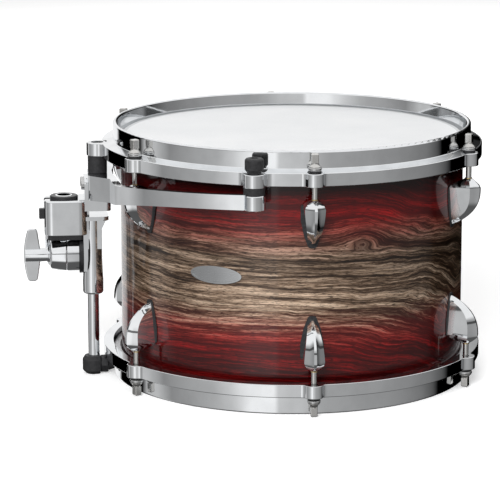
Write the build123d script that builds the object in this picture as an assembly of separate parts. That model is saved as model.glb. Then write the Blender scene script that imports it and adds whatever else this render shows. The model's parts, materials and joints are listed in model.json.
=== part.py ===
"""Suspended tom tom drum: shell, two tuned heads, die-cast hoops and a hoop-hung tom mount.

Frame: millimetres, +Z up. The origin is on the drum's axis, in the plane of the bottom rim.
The mount hangs on the -X side, and one column of lugs faces -Y. The drum is symmetric about
its middle height, so the lower half of the drum is made by reflecting the upper half.
"""
from build123d import *
import math
import os

# ------------------------------------------------------------------ driving dimensions
# Shell: the nominal size of the drum, 12 inches across and 8 inches deep.
SHELL_R = 152.4
SHELL_DEPTH = 203.2
SHELL_WALL = 6.0
EDGE_BEVEL = 3.0                  # height of the rounded-over bearing edge
EDGE_PEAK_INSET = 2.4             # from the shell's face to the crest of the bearing edge
OVERALL_HEIGHT = 227.4            # from one rim edge to the other

# Reinforcement rings glued inside both ends of the shell.
SOUND_RING_WALL = 4.5
SOUND_RING_HEIGHT = 22.0
SOUND_RING_SETBACK = 7.5          # from the bearing edge to the ring

# Name plate and air vent.
BADGE_ANGLE = 238.4
BADGE_Z = 117.0
BADGE_HALF_WIDTH = 24.0
BADGE_HALF_HEIGHT = 7.6
BADGE_BORDER = 1.7
VENT_R = 5.5
VENT_ANGLE = 60.0

# Heads.
FILM_THICKNESS = 0.5
FILM_FLAT_R = 150.0
FLESH_HOOP_HEIGHT = 5.8

# Hoops: a tall rim that stands on a flange with a sloping top.
RIM_OUTER_R = 159.0
RIM_EDGE_WIDTH = 3.6
FLANGE_R = 169.0
FLANGE_DROP = 17.1                # from the rim edge to the top of the flange's face
FLANGE_HEIGHT = 11.5
FLANGE_SLOPE_RISE = 1.9           # how much higher the flange is at the rim than at its face
FLANGE_INNER_R = 160.2
EAR_R = 8.4
EAR_BLEND_R = 5.0
EAR_SEAT_R = 6.4                  # the flat turned on a rod's ear for its washers

# Tension hardware.
LUG_COUNT = 6
FIRST_LUG_ANGLE = 270.0           # the first lug faces -Y
ROD_CIRCLE_R = 167.2
ROD_R = 2.5
ROD_HEAD_WIDTH = 6.0
ROD_HEAD_HEIGHT = 7.8
ROD_FLARE_HEIGHT = 3.6            # the cone between the key head and the washer
ROD_FLARE_R = 5.2
ROD_HEAD_DROP = 0.9               # the key head stops just under the rim edge
CUSHION_HEIGHT = 1.8
RUNNING_GAP = 0.05                # radial clearance of a turning or sliding fit
LUG_HALF_WIDTH = 8.8
LUG_TOP_DROP = 48.1               # from the rim edge to the lug's shoulder
LUG_HEIGHT = 33.8                 # from the shoulder to the lug's point
LUG_DEPTH = 25.8                  # from the shell to the nose, at the shoulder
LUG_SIDE_DEPTH = 19.2             # from the shell to the edge of the side face
LUG_DOME_HEIGHT = 7.8
LUG_SCREW_R = 2.5
LUG_SCREW_DEPTH = 7.0             # how far the screw's hole reaches into the lug
INSERT_R = 4.2
INSERT_NECK_R = 3.1
GASKET_THICKNESS = 0.8
GASKET_MARGIN = 1.3               # how far the pad stands out round the lug

# Suspension: three ears on the top hoop carry the arm on rubber.
MOUNT_ANGLE = 180.0
SIDE_EAR_SPREAD = 73.0            # from the mount's middle to each side ear
MOUNT_EAR_CIRCLE_R = 173.0
MOUNT_EAR_R = 9.7
MOUNT_EAR_SEAT_R = 8.6
LEFT_EAR_RECESS_R = 5.6
LEFT_EAR_RECESS_DEPTH = 5.5
GROMMET_R = 8.5
STUD_R = 3.0
STUD_NUT_HEIGHT = 4.0
CAP_R = 8.0
CAP_TOP_Z = 223.4
ARM_THICKNESS = 6.6
ARM_KINK_R = 187.8                # outer face of the arm where it leaves its straight run
ARM_KINK_ANGLE = 30.0
ARM_END_R = 182.2
ARM_END_ANGLE = SIDE_EAR_SPREAD - 1.6
BLOCK_TOP_Z = 183.0
BLOCK_BOTTOM_Z = 161.0
BLOCK_OUTER_X = -182.0
BLOCK_INNER_X = -160.0
BLOCK_NOSE_HALF = 17.0
BLOCK_ROOT_HALF = 36.0
BOSS_TOP_Z = 192.3
BOSS_BOTTOM_Z = 179.4
BOSS_R = 9.5
BOSS_GROOVE = 1.9                 # width and depth of the groove between arm and boss
BRACKET_SCREW_R = 2.5
BRACKET_SCREW_SPREAD = 8.5
BRACKET_SCREW_Z = 173.5
BRACKET_SCREW_DEPTH = 8.0         # how far a bracket screw reaches into the arm's block

# Clamp for the tom arm: an upright rod of 12 mm is held in a split barrel by a wing nut.
SOCKET_X = -203.0
SOCKET_R = 6.0
CLAMP_TOP_Z = 160.4
CLAMP_BOTTOM_Z = 129.0
CLAMP_HALF_WIDTH = 16.0
CHEEK_OUTER_Y = CLAMP_HALF_WIDTH + 6.0
CHEEK_THICKNESS = 4.6
TAB_THICKNESS = 3.2
TONGUE_BOTTOM_Z = 150.6
SLOT_HEIGHT = 5.4
LEDGE_BOTTOM_Z = 141.6
NECK_X = -186.4                   # the casting's face beside the liner
BUSHING_R = 10.1
SLEEVE_R = 8.0
BARREL_Z = 109.5
BARREL_R = 15.0
BARREL_INNER_X = -190.15
BARREL_OUTER_X = -216.0
SPLIT_X = -201.6
SPLIT_GAP = 0.5
EYE_R = 9.0
EYE_STUD_R = 4.0
WING_SPAN = 47.2
WING_INNER_X = -216.3
WING_OUTER_X = -239.2
WING_THICKNESS = 5.2

# Support leg.
LEG_X = -178.0
LEG_R = 5.0
LEG_TOP_Z = 129.0
LEG_BOTTOM_Z = 4.0
LEG_SCREW_R = 2.5
LEG_SCREW_Z = 83.5
STEM_R = 8.3
STEM_FLARE_R = 9.2
STEM_BOTTOM_Z = 73.5
FOOT_Z = 8.2                      # height of the foot's tip, which bears on the bottom rim
FOOT_R = 10.3
FOOT_FACE_X = -172.5              # the flat on the foot that the lock nut bears on
FOOT_STUD_R = 3.5

# ------------------------------------------------------------------ derived values
SHELL_BOTTOM_Z = (OVERALL_HEIGHT - SHELL_DEPTH) / 2
SHELL_TOP_Z = SHELL_BOTTOM_Z + SHELL_DEPTH
SHELL_INNER_R = SHELL_R - SHELL_WALL
MIDDLE_Z = OVERALL_HEIGHT / 2
FLANGE_TOP_Z = OVERALL_HEIGHT - FLANGE_DROP
FLANGE_BOTTOM_Z = FLANGE_TOP_Z - FLANGE_HEIGHT
LUG_TOP_Z = OVERALL_HEIGHT - LUG_TOP_DROP
DOME_TOP_Z = LUG_TOP_Z + LUG_DOME_HEIGHT
INSERT_BOTTOM_Z = LUG_TOP_Z - 15.0
INSERT_SHOULDER_Z = LUG_TOP_Z + 3.6
INSERT_TOP_Z = DOME_TOP_Z + 0.8
ROD_FLARE_BOTTOM_Z = OVERALL_HEIGHT - ROD_HEAD_DROP - ROD_HEAD_HEIGHT - ROD_FLARE_HEIGHT
FILM_BOTTOM_Z = SHELL_TOP_Z + 0.1
FILM_COLLAR_R = SHELL_R + 0.6
FLESH_HOOP_TOP_Z = FLANGE_TOP_Z - 0.9
TAB_X = BLOCK_OUTER_X - TAB_THICKNESS
LUG_ANGLES = [FIRST_LUG_ANGLE - 60.0 * i for i in range(LUG_COUNT)]
SIDE_EAR_ANGLES = [MOUNT_ANGLE + SIDE_EAR_SPREAD, MOUNT_ANGLE - SIDE_EAR_SPREAD]
LUG_SCREW_HEIGHTS = [LUG_TOP_Z - 5.0, LUG_TOP_Z - 23.0]


# ------------------------------------------------------------------ helpers
def polar(radius, angle):
    """X and Y of a point at a radius and an angle in degrees about the drum's axis."""
    return radius * math.cos(math.radians(angle)), radius * math.sin(math.radians(angle))


def turned(shape, angle):
    """The shape, modelled towards +X, turned about the drum's axis to the given angle."""
    return Rot(0, 0, angle) * shape


def below(shape):
    """The reflection of an upper part in the drum's middle height."""
    return mirror(shape, about=Plane.XY.offset(MIDDLE_Z))


def upright(radius, low, high, x=0.0, y=0.0):
    """An upright cylinder between two heights."""
    return Pos(x, y, (low + high) / 2) * Cylinder(radius, high - low)


def along_x(radius, low, high, y=0.0, z=0.0):
    """A cylinder along X between two X values."""
    return Pos((low + high) / 2, y, z) * Rot(0, 90, 0) * Cylinder(radius, high - low)


def along_y(radius, low, high, x=0.0, z=0.0):
    """A cylinder along Y between two Y values."""
    return Pos(x, (low + high) / 2, z) * Rot(90, 0, 0) * Cylinder(radius, high - low)


def block(x_span, y_span, z_span):
    """A box given by its low and high values along each axis."""
    centre = [(span[0] + span[1]) / 2 for span in (x_span, y_span, z_span)]
    size = [span[1] - span[0] for span in (x_span, y_span, z_span)]
    return Pos(*centre) * Box(*size)


def revolved(points, rounded=()):
    """A turned solid about Z; rounded pairs an outline corner's index with its radius."""
    face = make_face(Polyline(*points, close=True))
    for index, radius in rounded:
        corner = face.vertices().sort_by_distance(Vector(points[index][0], points[index][1]))[0]
        face = fillet(corner, radius)
    return revolve(Plane.XZ * face, axis=Axis.Z)


def group(solids):
    """Separate solids that share one node."""
    return Compound(children=[solid for shape in solids for solid in shape.solids()])


def write(name, shape):
    """Write one node's STEP file."""
    export_step(shape, f"parts/{name}.step")


# ------------------------------------------------------------------ shell and heads
def make_shell():
    """The plywood shell with rounded bearing edges, lug screw holes and the vent hole."""
    peak_r = SHELL_R - EDGE_PEAK_INSET
    outline = [
        (SHELL_INNER_R, SHELL_BOTTOM_Z + 2 * EDGE_BEVEL),
        (peak_r, SHELL_BOTTOM_Z),
        (SHELL_R, SHELL_BOTTOM_Z + EDGE_BEVEL),
        (SHELL_R, SHELL_TOP_Z - EDGE_BEVEL),
        (peak_r, SHELL_TOP_Z),
        (SHELL_INNER_R, SHELL_TOP_Z - 2 * EDGE_BEVEL),
    ]
    shell = revolved(outline)
    holes = []
    for angle in LUG_ANGLES:
        for height in LUG_SCREW_HEIGHTS:
            for z in (height, OVERALL_HEIGHT - height):
                holes.append(turned(along_x(LUG_SCREW_R + 0.1, SHELL_INNER_R - 2, SHELL_R + 2, z=z), angle))
    holes.append(turned(along_x(VENT_R, SHELL_INNER_R - 2, SHELL_R + 2, z=MIDDLE_Z), VENT_ANGLE))
    return shell - holes


def make_sound_ring():
    """The upper reinforcement ring inside the shell."""
    inner_r = SHELL_INNER_R - SOUND_RING_WALL
    top = SHELL_TOP_Z - SOUND_RING_SETBACK
    outline = [
        (inner_r, top - SOUND_RING_HEIGHT + 4),
        (SHELL_INNER_R, top - SOUND_RING_HEIGHT),
        (SHELL_INNER_R, top),
        (inner_r, top - 3),
    ]
    return revolved(outline)


def make_film():
    """The drumhead film: a flat disc whose edge turns down over the bearing edge."""
    low = FILM_BOTTOM_Z
    high = low + FILM_THICKNESS
    tail = FLESH_HOOP_TOP_Z - 3.4
    outer_r = FILM_COLLAR_R + FILM_THICKNESS
    outline = [
        (0, low),
        (FILM_FLAT_R + 0.2, low),
        (FILM_COLLAR_R, low - 2.8),
        (FILM_COLLAR_R, tail),
        (outer_r, tail),
        (outer_r, low - 2.5),
        (FILM_FLAT_R + 0.5, high),
        (0, high),
    ]
    return revolved(outline)


def make_flesh_hoop():
    """The aluminium ring that grips the film's edge under the hoop."""
    inner_r = FILM_COLLAR_R + FILM_THICKNESS
    outline = [
        (inner_r, FLESH_HOOP_TOP_Z - FLESH_HOOP_HEIGHT),
        (FLANGE_INNER_R - 0.8, FLESH_HOOP_TOP_Z - FLESH_HOOP_HEIGHT),
        (FLANGE_INNER_R - 0.8, FLESH_HOOP_TOP_Z),
        (inner_r, FLESH_HOOP_TOP_Z),
    ]
    return revolved(outline, [(0, 0.8), (1, 0.8)])


# ------------------------------------------------------------------ hoops
def hoop_plan(mount_ears):
    """The flange seen from above: a disc with lobes for the rods and, on one hoop, the mount."""
    plan = Circle(FLANGE_R)
    for angle in LUG_ANGLES:
        plan += Pos(*polar(ROD_CIRCLE_R, angle)) * Circle(EAR_R)
    if mount_ears:
        for angle in [MOUNT_ANGLE] + SIDE_EAR_ANGLES:
            plan += Pos(*polar(MOUNT_EAR_CIRCLE_R, angle)) * Circle(MOUNT_EAR_R)
    corners = [v for v in plan.vertices() if abs(Vector(v).length - FLANGE_R) < 0.01]
    return fillet(corners, EAR_BLEND_R)


def make_hoop(mount_ears):
    """A die-cast hoop in the upper position: a tall rim on a flange with drilled ears."""
    flange = Pos(0, 0, FLANGE_BOTTOM_Z) * extrude(hoop_plan(mount_ears), FLANGE_HEIGHT)
    flange = fillet(flange.edges().group_by(Axis.Z)[-1], 0.9)
    flange = fillet(flange.edges().group_by(Axis.Z)[0], 0.6)
    flange -= upright(FLANGE_INNER_R, FLANGE_BOTTOM_Z - 1, FLANGE_TOP_Z + 1)
    ledge = FLESH_HOOP_TOP_Z
    edge_r = RIM_OUTER_R - RIM_EDGE_WIDTH
    slope_foot_r = FLANGE_R - 0.7
    rim_outline = [
        (FILM_COLLAR_R + 0.9, ledge),
        (slope_foot_r, ledge),
        (slope_foot_r, FLANGE_TOP_Z - 0.1),
        (RIM_OUTER_R + 0.2, FLANGE_TOP_Z + FLANGE_SLOPE_RISE),
        (RIM_OUTER_R, OVERALL_HEIGHT),
        (edge_r, OVERALL_HEIGHT),
        (FILM_COLLAR_R + 0.9, SHELL_TOP_Z + 2.0),
    ]
    rim = revolved(rim_outline, [(4, 1.7), (5, 1.7), (3, 0.7)])
    hoop = flange + rim
    above = FLANGE_TOP_Z + FLANGE_SLOPE_RISE + 1
    for angle in LUG_ANGLES:
        x, y = polar(ROD_CIRCLE_R, angle)
        hoop -= upright(EAR_SEAT_R, FLANGE_TOP_Z, above, x, y)
        hoop -= upright(ROD_R + 0.6, FLANGE_BOTTOM_Z - 1, above, x, y)
    if mount_ears:
        for angle in [MOUNT_ANGLE] + SIDE_EAR_ANGLES:
            x, y = polar(MOUNT_EAR_CIRCLE_R, angle)
            hoop -= upright(MOUNT_EAR_SEAT_R, FLANGE_TOP_Z, above, x, y)
            hoop -= upright(STUD_R + 0.4, FLANGE_BOTTOM_Z - 1, above, x, y)
        x, y = polar(MOUNT_EAR_CIRCLE_R, MOUNT_ANGLE)
        hoop -= upright(LEFT_EAR_RECESS_R, FLANGE_TOP_Z - LEFT_EAR_RECESS_DEPTH, above, x, y)
    return hoop


# ------------------------------------------------------------------ lugs and tension hardware
def closing(share, power, root):
    """A curve that falls from 1 to 0 as share goes from 0 to 1, slowly first and then fast."""
    return max(0.0, 1 - share ** power) ** (1 / root)


def lug_outline(share):
    """The outline of a lug, facing +X, at a share of its height below the shoulder.

    It has straight sides off the shell, a bevel on each side and a narrow nose.
    """
    half_width = LUG_HALF_WIDTH * closing(share, 1.3, 2.2)
    side_end = SHELL_R + LUG_SIDE_DEPTH * closing(min(share / 0.88, 1), 3.0, 1.3)
    reach = SHELL_R + LUG_DEPTH * closing(share, 2.5, 1.2)
    bevel_end = reach - 0.09 * (reach - SHELL_R)
    half_outline = [
        (SHELL_R - 4.0, half_width),
        (side_end, half_width),
        (bevel_end, 0.4 * half_width),
        (reach, 0.14 * half_width),
    ]
    return half_outline + [(x, -y) for x, y in reversed(half_outline)]


def lug_level(outline, height):
    """A level face with the given outline at a height."""
    return Pos(0, 0, height) * make_face(Polyline(*outline, close=True))


def make_lug():
    """A die-cast lug in the upper position, facing +X: a faceted drop with a dome on top."""
    body_shares = [0.95, 0.87, 0.76, 0.62, 0.45, 0.25, 0.0]
    body = loft([lug_level(lug_outline(share), LUG_TOP_Z - share * LUG_HEIGHT) for share in body_shares])
    dome_faces = []
    for level, size in [(0.0, 1.0), (0.44, 0.76), (0.8, 0.52), (1.0, 0.42)]:
        outline = [(ROD_CIRCLE_R + size * (x - ROD_CIRCLE_R), size * y) for x, y in lug_outline(0.0)]
        dome_faces.append(lug_level(outline, LUG_TOP_Z + level * LUG_DOME_HEIGHT))
    lug = body + loft(dome_faces)
    lug -= upright(SHELL_R + GASKET_THICKNESS, LUG_TOP_Z - 60, LUG_TOP_Z + 20)
    lug -= upright(INSERT_R + RUNNING_GAP, INSERT_BOTTOM_Z - 0.1, INSERT_SHOULDER_Z + 0.1, ROD_CIRCLE_R)
    lug -= upright(INSERT_NECK_R + RUNNING_GAP, INSERT_BOTTOM_Z, INSERT_TOP_Z + 1, ROD_CIRCLE_R)
    for height in LUG_SCREW_HEIGHTS:
        lug -= along_x(LUG_SCREW_R + 0.05, SHELL_R - 5, SHELL_R + LUG_SCREW_DEPTH + 0.2, z=height)
    return lug


def make_lug_gasket():
    """The thin black pad between a lug and the shell, a little larger than the lug."""
    half = LUG_HALF_WIDTH + GASKET_MARGIN
    outline = Polyline(
        (-half, LUG_TOP_Z + GASKET_MARGIN),
        (half, LUG_TOP_Z + GASKET_MARGIN),
        (half, LUG_TOP_Z - 12),
        (half - 3.0, LUG_TOP_Z - 26),
        (3.2, LUG_TOP_Z - 36.2),
        (-3.2, LUG_TOP_Z - 36.2),
        (-half + 3.0, LUG_TOP_Z - 26),
        (-half, LUG_TOP_Z - 12),
        close=True,
    )
    face = fillet(make_face(outline).vertices(), 2.5)
    slab = extrude(Plane.YZ * face, SHELL_R + 20)
    pad = upright(SHELL_R + GASKET_THICKNESS, 0, OVERALL_HEIGHT) - upright(SHELL_R, 0, OVERALL_HEIGHT)
    pad = pad & slab
    for height in LUG_SCREW_HEIGHTS:
        pad -= along_x(LUG_SCREW_R + 0.1, SHELL_R - 5, SHELL_R + 5, z=height)
    return pad


def make_insert():
    """The threaded nut inside a lug, with a neck that shows where the tension rod enters."""
    insert = upright(INSERT_R, INSERT_BOTTOM_Z, INSERT_SHOULDER_Z, ROD_CIRCLE_R)
    insert += upright(INSERT_NECK_R, INSERT_BOTTOM_Z, INSERT_TOP_Z, ROD_CIRCLE_R)
    return insert - upright(ROD_R + RUNNING_GAP, INSERT_BOTTOM_Z - 1, INSERT_TOP_Z + 1, ROD_CIRCLE_R)


def make_rod():
    """A tension rod, facing +X: a square key head on a flared collar and a long shank."""
    head_top = OVERALL_HEIGHT - ROD_HEAD_DROP
    head_bottom = head_top - ROD_HEAD_HEIGHT
    shank_bottom = INSERT_BOTTOM_Z + 1.5
    head = block((-ROD_HEAD_WIDTH / 2, ROD_HEAD_WIDTH / 2), (-ROD_HEAD_WIDTH / 2, ROD_HEAD_WIDTH / 2),
                 (head_bottom, head_top))
    head = fillet(head.edges().filter_by(Axis.Z), 0.7)
    head = chamfer(head.edges().group_by(Axis.Z)[-1], 0.6)
    neck_r = ROD_HEAD_WIDTH / 2 + 0.2
    flare = make_face([
        Line((0, head_bottom + 0.5), (neck_r, head_bottom + 0.5)),
        ThreePointArc((neck_r, head_bottom + 0.5), (neck_r + 0.6, head_bottom - 1.5),
                      (ROD_FLARE_R, ROD_FLARE_BOTTOM_Z + 0.5)),
        Line((ROD_FLARE_R, ROD_FLARE_BOTTOM_Z + 0.5), (ROD_FLARE_R, ROD_FLARE_BOTTOM_Z)),
        Line((ROD_FLARE_R, ROD_FLARE_BOTTOM_Z), (0, ROD_FLARE_BOTTOM_Z)),
        Line((0, ROD_FLARE_BOTTOM_Z), (0, head_bottom + 0.5)),
    ])
    collar = revolve(Plane.XZ * flare, axis=Axis.Z)
    shank = upright(ROD_R, shank_bottom, head_bottom)
    shank = chamfer(shank.edges().group_by(Axis.Z)[0], 0.5)
    return Pos(ROD_CIRCLE_R, 0, 0) * (head + collar + shank)


def make_rod_washer(low, high, outer_r, rounding):
    """A ring on a tension rod between two heights, facing +X."""
    washer = upright(outer_r, low, high, ROD_CIRCLE_R)
    washer = fillet(washer.edges(), rounding)
    return washer - upright(ROD_R + 0.3, low - 1, high + 1, ROD_CIRCLE_R)


def make_lug_screw(height):
    """A screw from inside the shell into a lug, facing +X."""
    head = along_x(4.0, SHELL_INNER_R - 4.2, SHELL_INNER_R - 1.2, z=height)
    head = fillet(head.edges().group_by(Axis.X)[0], 1.0)
    slot = block((SHELL_INNER_R - 5, SHELL_INNER_R - 3.2), (-4.5, 4.5), (height - 0.5, height + 0.5))
    return head - slot + along_x(LUG_SCREW_R, SHELL_INNER_R - 1.3, SHELL_R + LUG_SCREW_DEPTH, z=height)


def make_lug_screw_washer(height):
    """The washer under a lug screw's head, facing +X."""
    disc = along_x(5.0, SHELL_INNER_R - 1.2, SHELL_INNER_R - 0.2, z=height)
    return disc - along_x(LUG_SCREW_R + 0.15, SHELL_INNER_R - 3, SHELL_INNER_R + 1, z=height)


def make_badge():
    """A plain oval name plate, bent to the shell, with a raised border."""
    outline = Ellipse(BADGE_HALF_WIDTH, BADGE_HALF_HEIGHT)
    inner_outline = Ellipse(BADGE_HALF_WIDTH - BADGE_BORDER, BADGE_HALF_HEIGHT - BADGE_BORDER)
    plate = extrude(Plane.YZ * outline, SHELL_R + 20)
    field = extrude(Plane.YZ * inner_outline, SHELL_R + 20)
    base = upright(SHELL_R + 1.1, -10, 10) - upright(SHELL_R + 0.02, -11, 11)
    relief = upright(SHELL_R + 3, -10, 10) - upright(SHELL_R + 0.6, -11, 11)
    return turned(Pos(0, 0, BADGE_Z) * ((base & plate) - (relief & field)), BADGE_ANGLE)


def make_vent_eyelet():
    """The metal eyelet that lines the air vent, with a flange on the outside."""
    tube = along_x(VENT_R - 0.1, SHELL_INNER_R - 0.8, SHELL_R + 0.4, z=MIDDLE_Z)
    lip = along_x(VENT_R + 3.0, SHELL_R + 0.15, SHELL_R + 1.3, z=MIDDLE_Z)
    lip = fillet(lip.edges().group_by(Axis.X)[-1], 0.9)
    eyelet = tube + lip - along_x(VENT_R - 1.1, SHELL_INNER_R - 2, SHELL_R + 3, z=MIDDLE_Z)
    return turned(eyelet, VENT_ANGLE)


# ------------------------------------------------------------------ suspension arm
def arm_side(sign):
    """One half of the arm in plan: a straight run off the block, then an arc to the boss."""
    def at(radius, angle):
        x, y = polar(radius, MOUNT_ANGLE + angle)
        return x, sign * y

    middle = (ARM_KINK_ANGLE + ARM_END_ANGLE) / 2
    middle_r = (ARM_KINK_R + ARM_END_R) / 2 + 1.0
    outer_kink = at(ARM_KINK_R, ARM_KINK_ANGLE)
    outer_end = at(ARM_END_R, ARM_END_ANGLE)
    inner_kink = at(ARM_KINK_R - ARM_THICKNESS, ARM_KINK_ANGLE + 0.6)
    inner_end = at(ARM_END_R - ARM_THICKNESS, ARM_END_ANGLE)
    root_outer = (BLOCK_INNER_X - 4.0, -sign * (BLOCK_ROOT_HALF - 4))
    root_inner = (BLOCK_INNER_X + 2.4, -sign * (BLOCK_ROOT_HALF - 4))
    outline = [
        Line(root_outer, outer_kink),
        ThreePointArc(outer_kink, at(middle_r, middle), outer_end),
        Line(outer_end, inner_end),
        ThreePointArc(inner_end, at(middle_r - ARM_THICKNESS, middle), inner_kink),
        Line(inner_kink, root_inner),
        Line(root_inner, root_outer),
    ]
    return make_face(outline)


def arm_height_profile():
    """The arm seen along X: low at the block and rising to both bosses."""
    reach = MOUNT_EAR_CIRCLE_R + 6
    top = Spline((-reach, 193.6), (-142, 192.0), (-93, 188.4), (-46, 184.2), (-20, BLOCK_TOP_Z))
    bottom = Spline((-20, BLOCK_BOTTOM_Z), (-46, 163.6), (-93, 171.6), (-142, 178.8), (-reach, 180.6))
    half = make_face([top, Line(top @ 1, (0, BLOCK_TOP_Z)), Line((0, BLOCK_TOP_Z), (0, BLOCK_BOTTOM_Z)),
                      Line((0, BLOCK_BOTTOM_Z), bottom @ 0), bottom, Line(bottom @ 1, top @ 0)])
    return half + mirror(half, about=Plane.YZ)


def make_arm():
    """The curved suspension arm: a middle block and two rising arms that end in bosses."""
    nose = Polyline(
        (BLOCK_OUTER_X, BLOCK_NOSE_HALF - 2),
        (BLOCK_OUTER_X, -BLOCK_NOSE_HALF + 2),
        (BLOCK_OUTER_X + 1.4, -BLOCK_NOSE_HALF),
        (BLOCK_INNER_X - 4.0, -BLOCK_ROOT_HALF),
        (BLOCK_INNER_X + 2.4, -BLOCK_ROOT_HALF),
        (BLOCK_INNER_X + 2.4, -BLOCK_ROOT_HALF + 8),
        (BLOCK_INNER_X, -10),
        (BLOCK_INNER_X, 10),
        (BLOCK_INNER_X + 2.4, BLOCK_ROOT_HALF - 8),
        (BLOCK_INNER_X + 2.4, BLOCK_ROOT_HALF),
        (BLOCK_INNER_X - 4.0, BLOCK_ROOT_HALF),
        (BLOCK_OUTER_X + 1.4, BLOCK_NOSE_HALF),
        close=True,
    )
    plan = make_face(nose) + arm_side(1) + arm_side(-1)
    for angle in SIDE_EAR_ANGLES:
        groove = Pos(*polar(MOUNT_EAR_CIRCLE_R, angle)) * (Circle(BOSS_R + BOSS_GROOVE) - Circle(BOSS_R))
        plan -= groove - Circle(ARM_END_R - BOSS_GROOVE)
    prism = Pos(0, 0, BLOCK_BOTTOM_Z - 5) * extrude(plan, 45)
    heights = Pos(-220, 0, 0) * extrude(Plane.YZ * arm_height_profile(), 220)
    arm = prism & heights
    for angle in SIDE_EAR_ANGLES:
        x, y = polar(MOUNT_EAR_CIRCLE_R, angle)
        boss = upright(BOSS_R, BOSS_BOTTOM_Z, BOSS_TOP_Z, x, y)
        arm += chamfer(boss.edges(), 0.7)
    for angle in SIDE_EAR_ANGLES:
        x, y = polar(MOUNT_EAR_CIRCLE_R, angle)
        arm -= upright(BOSS_R, BOSS_TOP_Z, BOSS_TOP_Z + 5, x, y)
        arm -= upright(STUD_R + 0.05, BOSS_BOTTOM_Z + 2.5, BOSS_TOP_Z + 1, x, y)
    x, y = polar(MOUNT_EAR_CIRCLE_R, MOUNT_ANGLE)
    arm -= upright(STUD_R + 0.05, BLOCK_TOP_Z - 14, BLOCK_TOP_Z + 3, x, y)
    for side in (-1, 1):
        arm -= along_x(BRACKET_SCREW_R + 0.05, BLOCK_OUTER_X - 1, BLOCK_OUTER_X + BRACKET_SCREW_DEPTH + 0.2,
                       y=side * BRACKET_SCREW_SPREAD, z=BRACKET_SCREW_Z)
    return arm


def make_grommet(angle, low, radius):
    """A rubber isolator between the arm and a hoop ear."""
    x, y = polar(MOUNT_EAR_CIRCLE_R, angle)
    grommet = upright(radius, low, FLANGE_BOTTOM_Z, x, y)
    grommet = fillet(grommet.edges(), 0.7)
    return grommet - upright(STUD_R + 0.3, low - 1, FLANGE_BOTTOM_Z + 1, x, y)


def make_stud(angle, low, high):
    """A threaded stud that holds an ear and the arm together."""
    x, y = polar(MOUNT_EAR_CIRCLE_R, angle)
    return upright(STUD_R, low, high, x, y)


def make_stud_nut(angle, low, flats):
    """A hexagonal nut on a stud."""
    x, y = polar(MOUNT_EAR_CIRCLE_R, angle)
    nut = Pos(x, y, low) * extrude(RegularPolygon(flats / 2, 6, major_radius=False), STUD_NUT_HEIGHT)
    return nut - upright(STUD_R + 0.05, low - 1, low + STUD_NUT_HEIGHT + 1, x, y)


def make_cap(angle):
    """The rubber cap over a side stud's nut, with a dimple in its top."""
    low = FLANGE_TOP_Z + 0.05
    outline = [
        (0, low),
        (CAP_R - 2.1, low),
        (CAP_R - 1.9, low + 1.0),
        (CAP_R, low + 3.4),
        (CAP_R, CAP_TOP_Z),
        (3.6, CAP_TOP_Z),
        (3.0, CAP_TOP_Z - 2.4),
        (0, CAP_TOP_Z - 2.4),
    ]
    body = revolved(outline, [(4, 2.4), (3, 1.2)])
    body -= upright(5.0, low - 1, low + 6.0)
    x, y = polar(MOUNT_EAR_CIRCLE_R, angle)
    return Pos(x, y, 0) * body


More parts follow.
